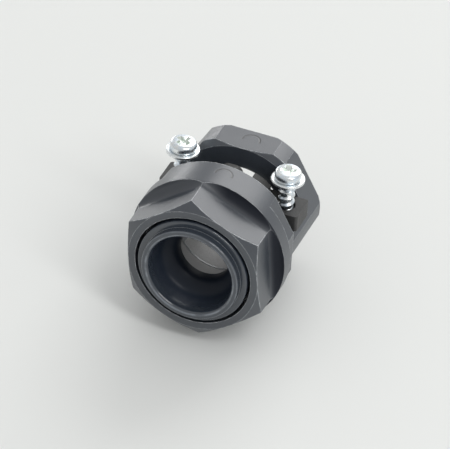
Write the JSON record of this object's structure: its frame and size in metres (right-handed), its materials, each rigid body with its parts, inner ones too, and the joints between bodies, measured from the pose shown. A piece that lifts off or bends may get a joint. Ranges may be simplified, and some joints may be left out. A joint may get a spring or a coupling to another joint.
{
  "type": "conduit compression fitting",
  "caption": "Conduit compression fitting: hexagonal moulded body with a bell-mouth gland bush in front and a slotted two-screw saddle clamp behind.",
  "frame": {"origin": "on the bore axis, in the plane of the body's front flat face", "axes": "+Y along the bore, from the bush at the front to the conduit entry at the back; +Z along the clamp screws, up; +X to the right seen from the bush"},
  "size_m": [0.0416, 0.042, 0.0416],
  "materials": {
    "moulded_body": "matt, bluish dark grey",
    "bush": "glossy, dark navy",
    "slip_ring": "plain",
    "packing": "matt grey",
    "clamp_pad": "matt, neutral grey",
    "clamp": "matt, neutral grey",
    "zinc": "bright zinc plated"
  },
  "bodies": {
    "frame": {"body": "moulded_body", "clamp_pad": "clamp_pad", "packing_ring": "packing"},
    "gland_carrier": {"slip_ring": "slip_ring"},
    "bush": {"gland_bush": "bush"},
    "clamp": {"upper_clamp": "clamp"},
    "left_carrier": {"left_washer": "zinc"},
    "left_screw": {"left_screw": "zinc"},
    "right_carrier": {"right_washer": "zinc"},
    "right_screw": {"right_screw": "zinc"}
  },
  "joints": [
    {"name": "bush_travel", "type": "slide", "parent": "frame", "child": "gland_carrier", "axis": [0, 1, 0], "range_m": [-0.00451, 0]},
    {"name": "bush_turn", "type": "hinge", "parent": "gland_carrier", "child": "bush", "pos_m": [0, 0, 0], "axis": [0, 1, 0], "range_deg": [-1080, 0]},
    {"name": "clamp_lift", "type": "slide", "parent": "frame", "child": "clamp", "axis": [0, 0, 1], "range_m": [0, 0.0021]},
    {"name": "left_screw_travel", "type": "slide", "parent": "frame", "child": "left_carrier", "axis": [0, 0, 1], "range_m": [-0.0054, 0.002]},
    {"name": "left_screw_turn", "type": "hinge", "parent": "left_carrier", "child": "left_screw", "pos_m": [-0.0143, 0.0266, 0], "axis": [0, 0, 1], "range_deg": [-973, 361]},
    {"name": "right_screw_travel", "type": "slide", "parent": "frame", "child": "right_carrier", "axis": [0, 0, 1], "range_m": [-0.0054, 0.002]},
    {"name": "right_screw_turn", "type": "hinge", "parent": "right_carrier", "child": "right_screw", "pos_m": [0.0143, 0.0266, 0], "axis": [0, 0, 1], "range_deg": [-973, 361]}
  ],
  "couplings": [
    {"joint": "bush_travel", "follows": "bush_turn", "m_per_rad": 0.00023873},
    {"joint": "left_screw_turn", "follows": "left_screw_travel", "rad_per_m": 3141.6},
    {"joint": "right_screw_turn", "follows": "right_screw_travel", "rad_per_m": 3141.6}
  ]
}
